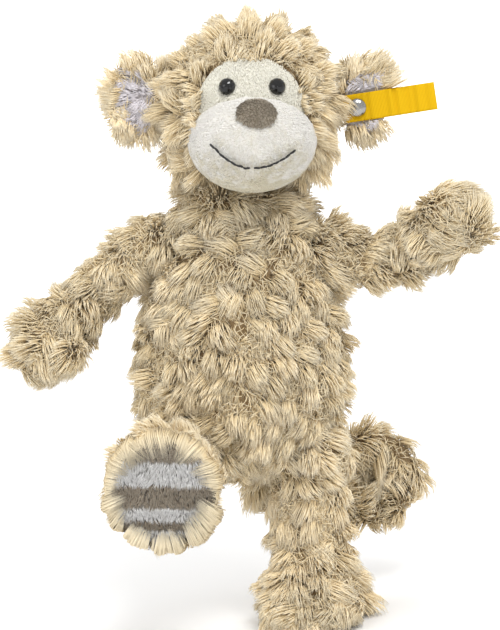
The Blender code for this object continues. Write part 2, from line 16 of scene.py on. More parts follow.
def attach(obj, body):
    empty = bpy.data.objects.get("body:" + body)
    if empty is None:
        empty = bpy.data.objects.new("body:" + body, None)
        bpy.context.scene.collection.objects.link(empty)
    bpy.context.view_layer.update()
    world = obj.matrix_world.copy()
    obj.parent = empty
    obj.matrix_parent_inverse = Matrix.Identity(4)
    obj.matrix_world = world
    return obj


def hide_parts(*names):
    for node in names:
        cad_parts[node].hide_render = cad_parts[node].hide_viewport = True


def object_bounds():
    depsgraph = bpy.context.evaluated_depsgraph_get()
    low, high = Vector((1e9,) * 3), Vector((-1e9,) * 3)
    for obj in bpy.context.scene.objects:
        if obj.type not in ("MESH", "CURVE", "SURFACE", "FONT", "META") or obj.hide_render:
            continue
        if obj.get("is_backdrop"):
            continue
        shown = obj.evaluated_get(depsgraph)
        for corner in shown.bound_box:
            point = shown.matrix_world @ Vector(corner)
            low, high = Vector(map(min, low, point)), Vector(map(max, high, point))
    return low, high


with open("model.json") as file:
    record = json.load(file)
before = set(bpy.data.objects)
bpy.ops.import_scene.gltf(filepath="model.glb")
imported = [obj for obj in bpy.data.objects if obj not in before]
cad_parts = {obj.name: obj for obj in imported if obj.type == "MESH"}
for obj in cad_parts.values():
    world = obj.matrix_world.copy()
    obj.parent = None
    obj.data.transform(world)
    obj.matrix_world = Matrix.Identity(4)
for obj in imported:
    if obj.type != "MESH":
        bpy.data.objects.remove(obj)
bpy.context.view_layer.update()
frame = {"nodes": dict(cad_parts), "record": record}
OPENINGS = {opening["name"]: opening for opening in frame["record"]["physics"]["openings"]}
JOINTS = {joint["name"]: joint for joint in frame["record"]["behaviour"]["joints"]}

SEED = 20
FUR_INSET = 0.0030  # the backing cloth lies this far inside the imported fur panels
STRANDS_PER_MM2 = 1.6
LOCK_SPACING = 0.0076
TUFT_SPACING = 0.0018
TONES = 24  # strips of the tone ramp that strands are spread over


# ---- Frames of the leaning body and of the head, read from the joints ----
def unit(values):
    return Vector(values).normalized()


def axes_matrix(x, y, z, place):
    made = Matrix((x, y, z)).transposed().to_4x4()
    made.translation = place
    return made


BODY_UP = unit(JOINTS["head_turn"]["axis"])
BODY_SIDE = Vector((0, 1, 0)).cross(BODY_UP)
BODY = axes_matrix(BODY_SIDE, Vector((0, 1, 0)), BODY_UP, Vector())
HEAD_UP = unit(JOINTS["ear_left_flex"]["axis"])
HEAD_BACK = HEAD_UP.cross(BODY_SIDE)
HEAD_MIDDLE = Vector(JOINTS["head_turn"]["pos_m"])
HEAD = axes_matrix(BODY_SIDE, HEAD_BACK, HEAD_UP, HEAD_MIDDLE)


def node_points(*names):
    return np.concatenate([np.array([v.co[:] for v in frame["nodes"][n].data.vertices]) for n in names])


def to_local(matrix, points):
    inverse = np.array(matrix.inverted())
    return points @ inverse[:3, :3].T + inverse[:3, 3]


def to_world(matrix, points):
    forward = np.array(matrix)
    return points @ forward[:3, :3].T + forward[:3, 3]


def local_box(matrix, *names):
    points = to_local(matrix, node_points(*names))
    return points.min(axis=0), points.max(axis=0)


# ---- Materials ----
def new_material(name):
    made = bpy.data.materials.new(name)
    made.use_nodes = True
    nodes = made.node_tree.nodes
    return made, nodes, made.node_tree.links, nodes["Principled BSDF"]


def ramp_node(nodes, stops, interpolation="LINEAR"):
    ramp = nodes.new("ShaderNodeValToRGB")
    ramp.color_ramp.interpolation = interpolation
    elements = ramp.color_ramp.elements
    while len(elements) < len(stops):
        elements.new(0.5)
    for element, (place, colour) in zip(elements, stops):
        element.position = place
        element.color = (*colour, 1.0)
    return ramp


def pile_material(name, root, middle, tip, tone=0.10, dim=None, roughness=0.85, sheen=0.10):
    """Colour from root to tip along V, the darker roots being painted shade deep in the pile, and a darker or
    lighter tone for each strand along U.
    """
    made, nodes, links, shader = new_material(name)
    uv = nodes.new("ShaderNodeUVMap")
    uv.uv_map = "OFBake"
    split = nodes.new("ShaderNodeSeparateXYZ")
    links.new(uv.outputs["UV"], split.inputs[0])
    along = ramp_node(nodes, ((0.0, root), (0.45, middle), (1.0, tip)))
    links.new(split.outputs["Y"], along.inputs["Fac"])
    low, high = 1.0 - tone, 1.0 + tone
    tones = ramp_node(nodes, ((0.0, dim or (low, low * 0.99, low * 0.97)), (0.5, (1.0, 1.0, 1.0)),
                              (1.0, (high, high, high * 1.01))))
    links.new(split.outputs["X"], tones.inputs["Fac"])
    mix = nodes.new("ShaderNodeMix")
    mix.data_type = "RGBA"
    mix.blend_type = "MULTIPLY"
    mix.inputs["Factor"].default_value = 1.0
    links.new(along.outputs["Color"], mix.inputs["A"])
    links.new(tones.outputs["Color"], mix.inputs["B"])
    links.new(mix.outputs["Result"], shader.inputs["Base Color"])
    shader.inputs["Roughness"].default_value = roughness
    shader.inputs["Sheen Weight"].default_value = sheen
    shader.inputs["Sheen Roughness"].default_value = 0.5
    return made


def noise_material(name, dark, light, scale, roughness, bump=0.0, bump_scale=None, metallic=0.0, sheen=0.0):
    """Cloth, plastic or metal: two close colours mixed by noise, with a fine bump."""
    made, nodes, links, shader = new_material(name)
    place = nodes.new("ShaderNodeTexCoord")
    noise = nodes.new("ShaderNodeTexNoise")
    noise.inputs["Scale"].default_value = scale
    noise.inputs["Detail"].default_value = 4.0
    links.new(place.outputs["Object"], noise.inputs["Vector"])
    ramp = ramp_node(nodes, ((0.3, dark), (0.7, light)))
    links.new(noise.outputs["Fac"], ramp.inputs["Fac"])
    links.new(ramp.outputs["Color"], shader.inputs["Base Color"])
    shader.inputs["Roughness"].default_value = roughness
    shader.inputs["Metallic"].default_value = metallic
    shader.inputs["Sheen Weight"].default_value = sheen
    if bump:
        fine = nodes.new("ShaderNodeTexNoise")
        fine.inputs["Scale"].default_value = bump_scale or scale * 4
        links.new(place.outputs["Object"], fine.inputs["Vector"])
        relief = nodes.new("ShaderNodeBump")
        relief.inputs["Strength"].default_value = bump
        relief.inputs["Distance"].default_value = 0.0004
        links.new(fine.outputs["Fac"], relief.inputs["Height"])
        links.new(relief.outputs["Normal"], shader.inputs["Normal"])
    return made


# the long fur darkens towards its roots as painted shade deep between the locks
FUR_SHADED_ROOT, FUR_MIDDLE, FUR_TIP = (0.38, 0.265, 0.13), (0.79, 0.645, 0.395), (0.96, 0.865, 0.665)
MATERIALS = {
    "long_fur": pile_material("long_fur", FUR_SHADED_ROOT, FUR_MIDDLE, FUR_TIP, 0.14),
    "face_pile": pile_material("face_pile", (0.72, 0.69, 0.58), (0.84, 0.815, 0.71), (0.90, 0.88, 0.79), 0.03),
    # the muzzle's dim colour is the yellowish painted shade under the mouth
    "muzzle_pile": pile_material("muzzle_pile", (0.88, 0.85, 0.78), (0.95, 0.925, 0.87), (0.98, 0.96, 0.91), 0.02,
                                 dim=(0.80, 0.76, 0.62)),
    "nose_pile": pile_material("nose_pile", (0.12, 0.09, 0.06), (0.33, 0.28, 0.21), (0.50, 0.44, 0.35), 0.22),
    "ear_pile": pile_material("ear_pile", (0.58, 0.54, 0.57), (0.85, 0.81, 0.85), (0.95, 0.92, 0.96), 0.06),
    "white_pile": pile_material("white_pile", (0.50, 0.48, 0.46), (0.72, 0.71, 0.69), (0.84, 0.83, 0.82), 0.06),
    "taupe_pile": pile_material("taupe_pile", (0.13, 0.10, 0.07), (0.28, 0.23, 0.17), (0.42, 0.36, 0.28), 0.18),
    # the backing under the long fur is painted dark, as painted shade deep under the locks
    "shaded_fur_backing": noise_material("shaded_fur_backing", (0.20, 0.135, 0.065), (0.28, 0.195, 0.10), 300, 1.0, 0.4),
    "face_backing": noise_material("face_backing", (0.80, 0.77, 0.69), (0.88, 0.855, 0.78), 400, 1.0, 0.3),
    "nose_backing": noise_material("nose_backing", (0.16, 0.125, 0.085), (0.24, 0.20, 0.14), 500, 1.0, 0.4),
    "ear_backing": noise_material("ear_backing", (0.56, 0.53, 0.53), (0.66, 0.63, 0.63), 400, 1.0, 0.4),
    "sole_backing": noise_material("sole_backing", (0.40, 0.37, 0.33), (0.52, 0.49, 0.45), 400, 1.0, 0.4),
    "black_thread": noise_material("black_thread", (0.004, 0.004, 0.004), (0.014, 0.013, 0.012), 900, 0.55, 0.5),
    "eye_plastic": noise_material("eye_plastic", (0.002, 0.002, 0.002), (0.004, 0.004, 0.004), 60, 0.06),
    "washer_plastic": noise_material("washer_plastic", (0.70, 0.70, 0.68), (0.78, 0.78, 0.76), 90, 0.4),
    "nickel": noise_material("nickel", (0.30, 0.295, 0.285), (0.38, 0.37, 0.36), 150, 0.16, 0.1, metallic=1.0),
}


# ---- Skins ----
def link(mesh, name):
    made = bpy.data.objects.new(name, mesh)
    bpy.context.scene.collection.objects.link(made)
    return made


def joined_copy(names, name):
    """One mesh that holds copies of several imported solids."""
    bm = bmesh.new()
    for node in names:
        bm.from_mesh(frame["nodes"][node].data)
    mesh = bpy.data.meshes.new(name)
    bm.to_mesh(mesh)
    bm.free()
    return link(mesh, name)


def add_ball(mesh, centre, radius):
    """A lobe, such as a thumb, that the remesh joins to the rest."""
    bm = bmesh.new()
    bm.from_mesh(mesh)
    bmesh.ops.create_icosphere(bm, subdivisions=3, radius=radius, matrix=Matrix.Translation(centre))
    bm.to_mesh(mesh)
    bm.free()


def evaluated(made):
    """Replaces an object's mesh by the one that its modifiers give."""
    graph = bpy.context.evaluated_depsgraph_get()
    mesh = bpy.data.meshes.new_from_object(made.evaluated_get(graph))
    made.modifiers.clear()
    made.data = mesh
    return made


def move_along_normals(made, distance):
    mesh = made.data
    points = np.empty(len(mesh.vertices) * 3)
    normals = np.empty(len(mesh.vertices) * 3)
    mesh.vertices.foreach_get("co", points)
    mesh.vertex_normals.foreach_get("vector", normals)
    mesh.vertices.foreach_set("co", points + normals * distance)
    mesh.update()


def skin(name, body, nodes, slot, inset=FUR_INSET, voxel=0.0030, smoothing=6, ball=None):
    """The backing cloth of a stuffed part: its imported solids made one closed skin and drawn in."""
    made = joined_copy(nodes, name)
    if ball:
        add_ball(made.data, *ball)
    remesh = made.modifiers.new("remesh", "REMESH")
    remesh.mode = "VOXEL"
    remesh.voxel_size = voxel
    smooth = made.modifiers.new("smooth", "SMOOTH")
    smooth.factor = 0.6
    smooth.iterations = smoothing
    evaluated(made)
    move_along_normals(made, -inset)
    made.data.shade_smooth()
    made.data.materials.clear()
    made.data.materials.append(MATERIALS[slot])
    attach(made, body)
    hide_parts(*nodes)
    return made


# ---- Pile ----
def triangles_of(made):
    mesh = made.data
    mesh.calc_loop_triangles()
    points = np.empty(len(mesh.vertices) * 3)
    mesh.vertices.foreach_get("co", points)
    normals = np.empty(len(mesh.vertices) * 3)
    mesh.vertex_normals.foreach_get("vector", normals)
    corners = np.empty(len(mesh.loop_triangles) * 3, dtype=np.int32)
    mesh.loop_triangles.foreach_get("vertices", corners)
    return points.reshape(-1, 3), normals.reshape(-1, 3), corners.reshape(-1, 3)


def scatter(made, per_mm2, random):
    """Random places on a skin, evenly by area, with the skin's normals there."""
    points, normals, corners = triangles_of(made)
    a, b, c = (points[corners[:, k]] for k in range(3))
    area = np.linalg.norm(np.cross(b - a, c - a), axis=1) / 2
    count = int(area.sum() * 1e6 * per_mm2)
    pick = random.choice(len(area), size=count, p=area / area.sum())
    u, v = random.random(count), random.random(count)
    flip = u + v > 1
    u[flip], v[flip] = 1 - u[flip], 1 - v[flip]
    w = 1 - u - v
    place = a[pick] * w[:, None] + b[pick] * u[:, None] + c[pick] * v[:, None]
    na, nb, nc = (normals[corners[pick, k]] for k in range(3))
    normal = na * w[:, None] + nb * u[:, None] + nc * v[:, None]
    return place, unit_rows(normal)


def unit_rows(rows):
    return rows / np.maximum(np.linalg.norm(rows, axis=1), 1e-9)[:, None]


def spaced(places, distance):
    """Keeps places at least a distance apart, in the order given."""
    kept, cells = [], {}
    keys = np.floor(places / distance).astype(int)
    offsets = [(i, j, k) for i in (-1, 0, 1) for j in (-1, 0, 1) for k in (-1, 0, 1)]
    for index, (place, key) in enumerate(zip(places, keys)):
        near = (other for o in offsets for other in cells.get((key[0] + o[0], key[1] + o[1], key[2] + o[2]), ()))
        if all(((places[other] - place) ** 2).sum() > distance ** 2 for other in near):
            cells.setdefault(tuple(key), []).append(index)
            kept.append(index)
    return np.array(kept)


def nearest(centres, places):
    tree = KDTree(len(centres))
    for index, centre in enumerate(centres):
        tree.insert(centre, index)
    tree.balance()
    return np.array([tree.find(place)[1] for place in places])


def tangential(vectors, normals):
    return unit_rows(vectors - normals * (vectors * normals).sum(axis=1)[:, None])


def turned(vectors, normals, angles):
    side = np.cross(normals, vectors)
    return vectors * np.cos(angles)[:, None] + side * np.sin(angles)[:, None]


def strand_mesh(name, rails, widths, tones, random, sides=3):
    """Closed tapered strands. rails is (strands, points along, 3); widths are radii along the strand."""
    count, steps = rails.shape[:2]
    along = unit_rows(rails[:, -1] - rails[:, 0])
    helper = np.where(np.abs(along[:, 2:3]) > 0.9, [[1.0, 0.0, 0.0]], [[0.0, 0.0, 1.0]])
    across = unit_rows(np.cross(along, helper))
    other = np.cross(along, across)
    start = random.random(count) * math.tau
    rings = []
    for step in range(steps - 1):
        for side in range(sides):
            angle = start + math.tau * side / sides
            offset = across * np.cos(angle)[:, None] + other * np.sin(angle)[:, None]
            rings.append(rails[:, step] + offset * widths[:, step:step + 1])
    rings.append(rails[:, -1])
    per = len(rings)
    points = np.stack(rings, axis=1).reshape(-1, 3)
    pattern = []
    values = []
    for step in range(steps - 2):
        for side in range(sides):
            k = (side + 1) % sides
            low, high = step * sides, (step + 1) * sides
            v0, v1 = step / (steps - 1), (step + 1) / (steps - 1)
            u0, u1 = side / sides, (side + 1) / sides
            pattern.append((low + side, low + k, high + k))
            values.append(((u0, v0), (u1, v0), (u1, v1)))
            pattern.append((low + side, high + k, high + side))
            values.append(((u0, v0), (u1, v1), (u0, v1)))
    for side in range(sides):
        k = (side + 1) % sides
        low = (steps - 2) * sides
        v0 = (steps - 2) / (steps - 1)
        pattern.append((low + side, low + k, per - 1))
        values.append(((side / sides, v0), ((side + 1) / sides, v0), ((side + 0.5) / sides, 1.0)))
    for side in range(1, sides - 1):
        pattern.append((0, side + 1, side))
        values.append(((0.0, 0.0), ((side + 1) / sides, 0.0), (side / sides, 0.0)))
    pattern, values = np.array(pattern), np.array(values)
    faces = (pattern[None, :, :] + (np.arange(count) * per)[:, None, None]).reshape(-1)
    tone = np.floor(np.clip(tones, 0.0, 0.999) * TONES) / TONES
    uv = np.empty((count, len(pattern), 3, 2))
    uv[..., 0] = tone[:, None, None] + values[None, ..., 0] / TONES
    uv[..., 1] = values[None, ..., 1]
    mesh = bpy.data.meshes.new(name)
    total = count * len(pattern)
    mesh.vertices.add(len(points))
    mesh.vertices.foreach_set("co", points.reshape(-1))
    mesh.loops.add(total * 3)
    mesh.loops.foreach_set("vertex_index", faces.astype(np.int32))
    mesh.polygons.add(total)
    mesh.polygons.foreach_set("loop_start", np.arange(total, dtype=np.int32) * 3)
    layer = mesh.uv_layers.new(name="OFBake")
    layer.data.foreach_set("uv", uv.reshape(-1))
    mesh.update(calc_edges=True)
    mesh.shade_smooth()
    return mesh


def swirl(places, wavelength, amount):
    """A smooth change of direction from place to place, as in fur that was combed by hand."""
    k = math.tau / wavelength
    x, y, z = places.T
    return amount * np.stack((np.sin(k * y + 1.3) + np.sin(0.7 * k * z + 0.4),
                              np.sin(k * z + 2.1) + np.sin(0.8 * k * x + 3.0),
                              np.sin(k * x + 0.2) + np.sin(0.9 * k * y + 5.1)), axis=1) * 0.5


LIFT = 0.9  # mean height of a lock, as a share of the height asked for
RISE_POWER, RUN_POWER = 1.7, 1.4  # a strand rises first and runs along the flow later
SWIRL_SIZE = 0.045  # metres from one turn of the combing to the next
UNDER_HEIGHT, UNDER_LENGTH, UNDER_DARKER = 0.50, 0.60, 0.35  # the undercoat, against the locks


def grow(name, body, base, flow, slot, material, random, keep=None, per_mm2=STRANDS_PER_MM2, height=0.0090,
         length=0.0100, spacing=LOCK_SPACING, tuft=TUFT_SPACING, clump=0.14, unrest=0.5, radius=0.00029, steps=4,
         wave=0.0012, whirl=0.6, fan=0.15, dome=0.75, gaps=0.22, uneven=0.34, undercoat=0.16, sink=0.0006,
         scale_at=None, reach_at=None, tone_at=None, shape=None):
    """Fur on a skin: strands in small tufts, and tufts in domed locks that lie along the flow and overlap."""
    places, normals = scatter(base, per_mm2 * (1.0), random)
    if keep is not None:
        chosen = keep(places, normals)
        places, normals = places[chosen], normals[chosen]
    seeds = spaced(places, spacing)
    seeds = seeds[random.random(len(seeds)) > gaps]  # where a lock is left out, its neighbours are larger
    lock = nearest(places[seeds], places + random.normal(0.0, spacing * 0.085, places.shape))
    tuft_seeds = spaced(places, tuft)
    small = nearest(places[tuft_seeds], places)
    centres, lock_normals = places[seeds], normals[seeds]
    count = len(seeds)
    wanted = flow(centres, lock_normals) + swirl(centres, SWIRL_SIZE, whirl)
    restless = unrest(centres) if callable(unrest) else unrest
    lock_turn = random.normal(0.0, 1.0, count) * restless
    lock_flow = turned(tangential(wanted, lock_normals), lock_normals, lock_turn)
    lift = random.uniform(LIFT - uneven, LIFT + uneven, count)
    reach = (2 * LIFT - lift) * random.uniform(0.80, 1.10, count)
    bend = random.normal(0.0, 1.0, count) * wave
    tuft_turn = random.normal(0.0, 0.06, len(tuft_seeds))
    tuft_reach = random.uniform(0.92, 1.06, len(tuft_seeds))
    scale = np.ones(len(places)) if scale_at is None else scale_at(places)
    outward = places - centres[lock]
    outward = outward - normals * (outward * normals).sum(axis=1)[:, None]
    edge = np.clip(np.linalg.norm(outward, axis=1) / (spacing * 0.62), 0.0, 1.2)
    tall = height * lift[lock] * scale * (1.20 - dome * edge ** 2) * random.uniform(0.92, 1.06, len(places))
    far = length * reach[lock] * tuft_reach[small] * scale * random.uniform(0.86, 1.08, len(places))
    if reach_at is not None:
        far = far * reach_at(places)
    way = turned(tangential(lock_flow[lock], normals), normals, tuft_turn[small])
    under = random.random(len(places)) < undercoat
    way = turned(way, normals, np.where(under, random.uniform(-math.pi, math.pi, len(places)),
                                        random.normal(0.0, 0.07, len(places))))
    tall, far = np.where(under, height * UNDER_HEIGHT, tall), np.where(under, length * UNDER_LENGTH, far)
    side = np.cross(normals, way)
    inward = places[tuft_seeds][small] - places
    inward = inward - normals * (inward * normals).sum(axis=1)[:, None]
    rails = []
    for s in np.linspace(0.0, 1.0, steps):
        rise = 1 - (1 - s) ** RISE_POWER
        run = s ** RUN_POWER
        sway = bend[lock] * math.sin(s * math.pi * 1.3)
        gather = inward * (clump * math.sin(s * math.pi * 0.6)) + outward * (fan * run)
        rails.append(places - normals * sink + normals * (tall * rise)[:, None] + way * (far * run)[:, None]
                     + gather + side * sway[:, None])
    rails = np.stack(rails, axis=1)
    if shape is not None:
        rails = shape(rails)
    taper = np.array([1.0 - 0.5 * (k / (steps - 1)) ** 2 for k in range(steps)])
    widths = radius * random.uniform(0.8, 1.25, len(places))[:, None] * taper[None, :]
    tones = (random.uniform(0.25, 0.75, count)[lock] + random.normal(0.0, 0.09, len(tuft_seeds))[small]
             + random.normal(0.0, 0.06, len(places)))
    if tone_at is not None:
        tones = tones + tone_at(places)
    tones = np.where(under, tones - UNDER_DARKER, tones)
    add_strands(name, body, rails, widths, tones, material, random)


def above(lowest):
    """Keeps strands over a height, such as the floor's."""
    def shape(rails):
        rails[..., 2] = np.maximum(rails[..., 2], lowest)
        return rails

    return shape


SHORT_PILE = dict(spacing=0.0060, tuft=0.0018, clump=0.1, unrest=0.25, steps=3, wave=0.0002, whirl=0.2,
                  fan=0.0, dome=0.05, gaps=0.0, uneven=0.03, undercoat=0.0, sink=0.0002)
CLIPPED_PILE = dict(per_mm2=6.0, height=0.0010, length=0.0018, radius=0.00018, **SHORT_PILE)  # face and muzzle


def add_strands(name, body, rails, widths, tones, material, random, limit=9000):
    """Strands as pieces of bounded size, riding on the body."""
    parts = max(1, math.ceil(len(rails) / limit))
    for index, chosen in enumerate(np.array_split(np.arange(len(rails)), parts)):
        label = f"{name}_{index + 1}"
        piece = link(strand_mesh(label, rails[chosen], widths[chosen], tones[chosen], random), label)
        piece.data.materials.append(MATERIALS[material])
        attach(piece, body)


# How much lighter or darker the fur of a part is, as a share of the tone ramp
# the legs' fur is made lighter as painted light, for the light that the pale floor throws up on the legs and feet
LEG_PAINTED_LIGHT, RIM_TONE, TAIL_TONE, HEAD_TONE, EAR_RIM_TONE = 0.42, -0.05, 0.20, 0.20, 0.30


def evenly(value):
    return lambda places: value


def ramp01(values):
    return np.clip(values, 0.0, 1.0)


# ---- Flow of the fur ----
def constant_flow(direction):
    row = np.array(direction)[None, :]
    return lambda places, normals: np.repeat(row, len(places), axis=0)


def along_limb_flow(joint, tip, droop=0.35):
    """From the limb's root to its tip, drooping a little."""
    root = np.array(JOINTS[joint]["pos_m"])
    way = np.array(tip) - root
    way = way / np.linalg.norm(way)
    down = np.array([0, 0, -droop])
    return lambda places, normals: np.repeat((way + down)[None, :], len(places), axis=0)


def away_flow(centre, down, push=0.0):
    """Away from a centre, such as the middle of the face, and downwards."""
    middle = np.array(centre)
    fall = np.array(down)

    def flow(places, normals):
        return unit_rows(places - middle) + fall + normals * push

    return flow


BREAST_DOWN = 0.030  # the breast's middle, under the top of the torso
TORSO_SPREAD = 0.7  # how far the fur's flow turns outwards at the torso's sides
CALM, TOUSLED, TOUSLED_RADIUS = 0.40, 0.85, 0.035  # unrest of the locks far from the breast, and added at it
# the torso's fur is a little lighter all over, and darker on the breast under the chin as painted shade, over a
# radius
TORSO_TONE, CHIN_SHADE, CHIN_RADIUS = 0.12, 0.55, 0.026
NECK_LONGER, NECK_DOWN, NECK_OVER = 0.45, 0.016, 0.012  # longer fur, from this far down, over this distance


def build_torso(random):
    nodes = ["torso_front_panel", "torso_back_panel", "torso_stuffing"]
    base = skin("torso_skin", "torso", nodes, "shaded_fur_backing")
    low, high = local_box(BODY, *nodes)
    middle = (low + high) / 2
    breast = np.array((middle[0], low[1], high[2] - BREAST_DOWN))

    def flow(places, normals):
        """Down, and a little outwards from the middle line."""
        across = (to_local(BODY, places)[:, 0] - middle[0]) / (high[0] - low[0]) * 2
        return np.array(BODY_SIDE) * across[:, None] * TORSO_SPREAD - np.array(BODY_UP)

    def unrest(places):
        """Tousled under the chin, calmer on the belly and the back."""
        far = np.linalg.norm(to_local(BODY, places) - breast, axis=1)
        return CALM + TOUSLED * np.exp(-(far / TOUSLED_RADIUS) ** 2)

    def shade(places):
        """Painted shade under the chin, where the head shades the breast."""
        far = np.linalg.norm(to_local(BODY, places) - breast, axis=1)
        return TORSO_TONE - CHIN_SHADE * np.exp(-(far / CHIN_RADIUS) ** 2)

    def longer(places):
        """Longer round the neck, where it meets the fur of the head."""
        over_shoulders = to_local(BODY, places)[:, 2] - high[2] + NECK_DOWN
        return 1 + NECK_LONGER * ramp01(over_shoulders / NECK_OVER)

    grow("torso_fur", "torso", base, flow, "long_fur", "long_fur", random, unrest=unrest, scale_at=longer,
         tone_at=shade)


PALM_FROM_TIP, HAND_REACH = 0.016, 0.022
THUMB_FROM_PALM, THUMB_RADIUS = (0.0125, -0.0095, 0.0), 0.0078  # in the leaning body's frame


def build_arms(random):
    for side in ("right", "left"):
        nodes = [f"arm_{part}_{side}" for part in ("front_panel", "back_panel", "stuffing")]
        points = node_points(nodes[0])
        root = np.array(JOINTS[f"arm_{side}_swing"]["pos_m"])
        tip = points[np.argmax(np.linalg.norm(points - root, axis=1))]
        palm = tip + (root - tip) * (PALM_FROM_TIP / np.linalg.norm(root - tip))
        thumb = None
        if side == "right":
            thumb = (Vector(palm) + BODY.to_3x3() @ Vector(THUMB_FROM_PALM), THUMB_RADIUS)
        base = skin(f"arm_{side}_skin", "arm_" + side, nodes, "shaded_fur_backing", ball=thumb)
        along = along_limb_flow(f"arm_{side}_swing", tip)

        def flow(places, normals, palm=palm, along=along):
            """Along the arm, and outwards all round the hand."""
            out = places - palm
            near = ramp01(1.4 - np.linalg.norm(out, axis=1) / HAND_REACH)[:, None]
            return along(places, normals) * (1 - 0.5 * near) + unit_rows(out) * near * 1.2

        grow(f"arm_{side}_fur", "arm_" + side, base, flow, "long_fur", "long_fur", random)


SOLE_DEPTH = 0.014  # the leg's fur ends this far behind the sole's face
RIM_FACING = 0.75  # skin that faces the ground more than this carries no fur
RIM_DEPTH, RIM_RADIUS = 0.0110, 0.0150  # where the fur round a sole grows
RIM_PAST, RIM_RISE, RIM_LAP = 0.0038, 0.0044, 0.0054  # on the raised foot: how far out, up and over the sole
RIM_RAGGED = 1.6  # higher is more uneven
FOOT_END_SCALE, FOOT_END_OVER = 0.88, 0.05  # shorter fur at a foot's end, growing longer over this distance
FOOT_OUTER, FOOT_HIGH, FOOT_FULLER = 0.020, 0.030, 0.40  # fuller fur on the outer side of a foot, low down
FUR_LOWEST, PILE_LOWEST = 0.0004, 0.0002  # above the floor, for the leg's fur and the sole's pile
SOLE_FACING = 0.3  # the sole's side walls carry no pile
STRIPE_EDGES = (0.70, 0.22, -0.22, -0.48, -0.66)  # from the toe's end to the heel's, in half lengths


def build_legs(random):
    for side in ("left", "right"):
        nodes = [f"leg_{part}_{side}" for part in ("front_panel", "back_panel", "stuffing")]
        sole = node_points("foot_sole_" + side).mean(axis=0)
        base = skin(f"leg_{side}_skin", "leg_" + side, nodes, "shaded_fur_backing")
        root = np.array(JOINTS[f"leg_{side}_swing"]["pos_m"])
        down = (sole - root) / np.linalg.norm(sole - root)
        flow = along_limb_flow(f"leg_{side}_swing", sole, 0.25)

        def keep(places, normals, sole=sole, down=down):
            return ~((normals @ down > RIM_FACING) & ((places - sole) @ down > -SOLE_DEPTH))

        def shorter(places, sole=sole, down=down):
            """Shorter at the end of the foot, and fuller on its outer side."""
            outer = ramp01((places[:, 0] - sole[0]) / FOOT_OUTER) * ramp01(1.4 - places[:, 2] / FOOT_HIGH)
            end = FOOT_END_SCALE + ((sole - places) @ down) / FOOT_END_OVER
            return np.clip(end, FOOT_END_SCALE, 1.0) + FOOT_FULLER * outer

        # the legs' fur is painted lighter, for the light that the floor throws up on legs and feet
        grow(f"leg_{side}_fur", "leg_" + side, base, flow, "long_fur", "long_fur", random, keep=keep,
             scale_at=shorter, tone_at=evenly(LEG_PAINTED_LIGHT), shape=above(FUR_LOWEST) if side == "left" else None)

        def at_rim(places, normals, sole=sole, down=down):
            out = places - sole
            depth = out @ down
            away = np.linalg.norm(out - depth[:, None] * down, axis=1)
            return (normals @ down < RIM_FACING) & (depth > -RIM_DEPTH) & (away > RIM_RADIUS)

        def over_edge(rails, sole=sole, down=down, disc=node_points("foot_sole_" + side)):
            """Leads strands round the edge of the sole, and in over it."""
            roots = rails[:, 0] - sole
            deep = roots @ down
            out = unit_rows(roots - deep[:, None] * down)
            edge = ((disc - sole) @ out.T).max(axis=0)
            moved = rails[:, -1] - rails[:, 0]
            reach = np.linalg.norm(moved, axis=1)
            reach = (reach / reach.mean()) ** RIM_RAGGED
            sideways = moved - (moved @ down)[:, None] * down - (moved * out).sum(axis=1)[:, None] * out
            start = (roots * out).sum(axis=1)
            past = RIM_PAST * reach
            radii = np.stack((start, edge + past, edge + past * 0.6, edge - RIM_LAP * reach))
            depths = np.stack((deep, deep * 0.4, RIM_RISE * reach, RIM_RISE * 0.8 * reach))
            for step, (radius, depth) in enumerate(zip(radii, depths)):
                place = sole + out * radius[:, None] + depth[:, None] * down
                rails[:, step] = place + sideways * (step / (len(radii) - 1))
            return rails

        grow(f"foot_rim_fur_{side}", "leg_" + side, base, constant_flow(down), "long_fur", "long_fur", random,
             keep=at_rim, per_mm2=3.2, height=0.0075, length=0.0085, spacing=0.0062, undercoat=0.0, unrest=0.55,
             whirl=0.3, tone_at=evenly(RIM_TONE),
             shape=above(FUR_LOWEST) if side == "left" else over_edge)
        build_sole(side, sole, down, random)


def build_sole(side, middle, down, random):
    """The flat sole, with bands of white and taupe pile across it."""
    node = "foot_sole_" + side
    base = skin(f"sole_{side}_skin", "leg_" + side, [node], "sole_backing", 0.0002, 0.0012, 2)
    toes = np.array(JOINTS["leg_right_swing"]["axis"])
    up = np.cross(toes, down) if side == "right" else np.array([0.0, -1.0, 0.0])
    up = up / np.linalg.norm(up)
    half = np.abs((node_points(node) - middle) @ up).max()

    def stripe(places):
        level = ((places - middle) @ up) / half
        return 1 - sum((level < edge).astype(int) for edge in STRIPE_EDGES) % 2

    for slot_name, wanted in (("white_pile", 0), ("taupe_pile", 1)):

        def keep(places, normals, wanted=wanted):
            return (normals @ down > SOLE_FACING) & (stripe(places) == wanted)

        flow = constant_flow(-up + down * 0.2)
        grow(f"sole_{side}_{slot_name}", "leg_" + side, base, flow, "sole_cloth", slot_name, random, keep=keep,
             per_mm2=4.0, height=0.0026, length=0.0042, radius=0.00020,
             shape=above(PILE_LOWEST) if side == "left" else None, **SHORT_PILE)


CURL_REACH, CURL_OVER = 0.024, 0.008  # fur this near the curl's middle leans in, the more the nearer
CURL_CLOSE = 0.75  # of the way to the middle, at most


